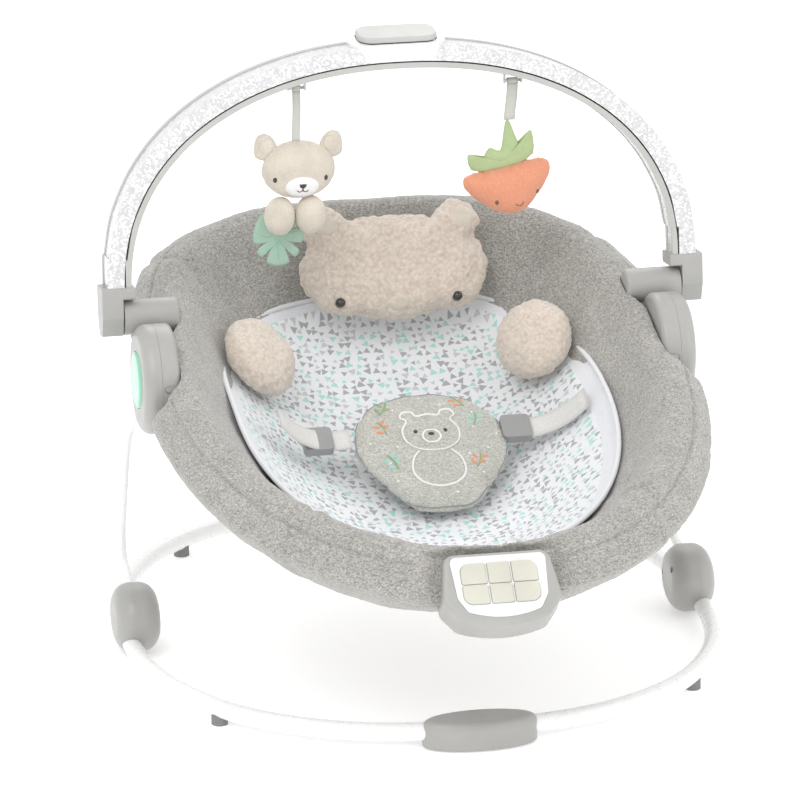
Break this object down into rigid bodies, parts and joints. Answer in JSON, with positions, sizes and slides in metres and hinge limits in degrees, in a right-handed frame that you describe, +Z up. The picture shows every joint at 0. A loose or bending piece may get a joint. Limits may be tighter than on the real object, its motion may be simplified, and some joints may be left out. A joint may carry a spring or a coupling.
{
  "type": "bouncer seat",
  "caption": "Infant bouncer: egg-shaped padded seat on a floor ring with two spring legs, recline hubs, a pivoting light-up toy arch and a front control panel.",
  "frame": {"origin": "on the floor under the middle of the whole seat", "axes": "+Y towards the head end, -Y the control panel end, +X the sitter's left, +Z up"},
  "size_m": [0.608, 0.7592, 0.597],
  "materials": {
    "steel_white": "gloss white powder coat",
    "grey_plastic": "satin warm grey",
    "light_grey_plastic": "satin light grey",
    "pearl_plastic": "pearly light grey",
    "clear_plastic": "frosted translucent, speckled",
    "white_plastic": "gloss white",
    "mint_plastic": "gloss mint green",
    "key_plastic": "satin cream",
    "black_plastic": "satin grey",
    "rubber_grey": "matt rubber",
    "steel": "bare steel",
    "board": "green board",
    "grey_plush": "short grey plush",
    "liner_fabric": "printed woven",
    "sherpa": "cream sherpa",
    "webbing": "woven webbing",
    "toy_cream": "short cream plush",
    "toy_mint": "mint cotton",
    "toy_orange": "orange cotton",
    "toy_green": "green felt"
  },
  "bodies": {
    "base": {"base_tube_front": "steel_white", "base_tube_back": "steel_white", "base_hub_outer_shells": "grey_plastic", "base_hub_inner_shells": "grey_plastic", "base_screws": "steel", "front_foot_upper": "grey_plastic", "front_foot_lower": "grey_plastic", "rubber_feet": "rubber_grey"},
    "legs": {"leg_left": "steel_white", "leg_right": "steel_white", "seat_hub_outer_left": "grey_plastic", "seat_hub_outer_right": "grey_plastic"},
    "seat": {"seat_hub_inner_left": "grey_plastic", "seat_hub_inner_right": "grey_plastic", "release_springs": "steel", "frame_links": "steel_white", "pivot_bosses": "grey_plastic", "pivot_pins": "steel", "back_frame_tube": "steel_white", "front_frame_tubes": "steel_white", "seat_cover": "grey_plush", "seat_liner": "liner_fabric", "headrest": "sherpa", "side_lobes": "sherpa", "crotch_pad": "grey_plush", "waist_straps": "webbing", "buckles": "black_plastic", "panel_housing_front": "grey_plastic", "panel_housing_back": "grey_plastic", "panel_face": "white_plastic", "keypad": "rubber_grey", "circuit_board": "board", "speaker": "black_plastic", "vibration_motor": "steel", "batteries": "steel", "battery_door": "grey_plastic"},
    "motor_weight": {"motor_weight": "steel"},
    "release_left": {"release_button_left": "mint_plastic", "lock_gear_left": "white_plastic"},
    "release_right": {"release_button_right": "mint_plastic", "lock_gear_right": "white_plastic"},
    "toy_bar": {"bar_rear_rail": "light_grey_plastic", "bar_front_rail": "light_grey_plastic", "bar_diffuser": "clear_plastic", "bar_inner_cover": "pearl_plastic", "bar_brackets": "grey_plastic", "light_housing": "white_plastic"},
    "light_button": {"light_button": "light_grey_plastic"},
    "bear": {"bear_ribbon": "toy_cream", "bear_plush": "toy_cream", "bear_leaf": "toy_mint"},
    "berry": {"berry_ribbon": "toy_green", "berry_plush": "toy_orange", "berry_crown": "toy_green"},
    "key_top_left": {"key_top_left": "key_plastic"},
    "key_top_middle": {"key_top_middle": "key_plastic"},
    "key_top_right": {"key_top_right": "key_plastic"},
    "key_lower_left": {"key_lower_left": "key_plastic"},
    "key_lower_middle": {"key_lower_middle": "key_plastic"},
    "key_lower_right": {"key_lower_right": "key_plastic"}
  },
  "joints": [
    {"name": "leg_bounce", "type": "hinge", "parent": "base", "child": "legs", "pos_m": [0, 0.052, 0.0445], "axis": [1, 0, 0], "range_deg": [-4, 4], "stiffness_Nm_per_rad": 260},
    {"name": "seat_recline", "type": "hinge", "parent": "legs", "child": "seat", "pos_m": [0, 0.052, 0.281], "axis": [1, 0, 0], "range_deg": [0, 14]},
    {"name": "release_press_left", "type": "slide", "parent": "legs", "child": "release_left", "axis": [1, 0, 0], "range_m": [0, 0.004], "stiffness_N_per_m": 1500, "springref_m": -0.002, "deforming": ["release_springs"]},
    {"name": "release_press_right", "type": "slide", "parent": "legs", "child": "release_right", "axis": [-1, 0, 0], "range_m": [0, 0.004], "stiffness_N_per_m": 1500, "springref_m": -0.002, "deforming": ["release_springs"]},
    {"name": "toy_bar_swing", "type": "hinge", "parent": "seat", "child": "toy_bar", "pos_m": [0, 0.107, 0.328], "axis": [1, 0, 0], "range_deg": [-35, 20]},
    {"name": "bear_swing", "type": "hinge", "parent": "toy_bar", "child": "bear", "pos_m": [-0.101, 0.13548, 0.54434], "axis": [1, 0, 0], "range_deg": [-30, 30]},
    {"name": "berry_swing", "type": "hinge", "parent": "toy_bar", "child": "berry", "pos_m": [0.1165, 0.13494, 0.54021], "axis": [1, 0, 0], "range_deg": [-30, 30]},
    {"name": "light_press", "type": "slide", "parent": "toy_bar", "child": "light_button", "axis": [0, 0.0698, -0.9976], "range_m": [0, 0.0015], "stiffness_N_per_m": 1500, "springref_m": -0.001},
    {"name": "motor_spin", "type": "hinge", "parent": "seat", "child": "motor_weight", "pos_m": [0.04, -0.32395, 0.19223], "axis": [1, 0, 0], "continuous": true},
    {"name": "key_top_left_press", "type": "slide", "parent": "seat", "child": "key_top_left", "axis": [0, 0.7071, -0.7071], "range_m": [0, 0.0015], "stiffness_N_per_m": 1200, "springref_m": -0.001},
    {"name": "key_top_middle_press", "type": "slide", "parent": "seat", "child": "key_top_middle", "axis": [0, 0.7071, -0.7071], "range_m": [0, 0.0015], "stiffness_N_per_m": 1200, "springref_m": -0.001},
    {"name": "key_top_right_press", "type": "slide", "parent": "seat", "child": "key_top_right", "axis": [0, 0.7071, -0.7071], "range_m": [0, 0.0015], "stiffness_N_per_m": 1200, "springref_m": -0.001},
    {"name": "key_lower_left_press", "type": "slide", "parent": "seat", "child": "key_lower_left", "axis": [0, 0.7071, -0.7071], "range_m": [0, 0.0015], "stiffness_N_per_m": 1200, "springref_m": -0.001},
    {"name": "key_lower_middle_press", "type": "slide", "parent": "seat", "child": "key_lower_middle", "axis": [0, 0.7071, -0.7071], "range_m": [0, 0.0015], "stiffness_N_per_m": 1200, "springref_m": -0.001},
    {"name": "key_lower_right_press", "type": "slide", "parent": "seat", "child": "key_lower_right", "axis": [0, 0.7071, -0.7071], "range_m": [0, 0.0015], "stiffness_N_per_m": 1200, "springref_m": -0.001}
  ]
}
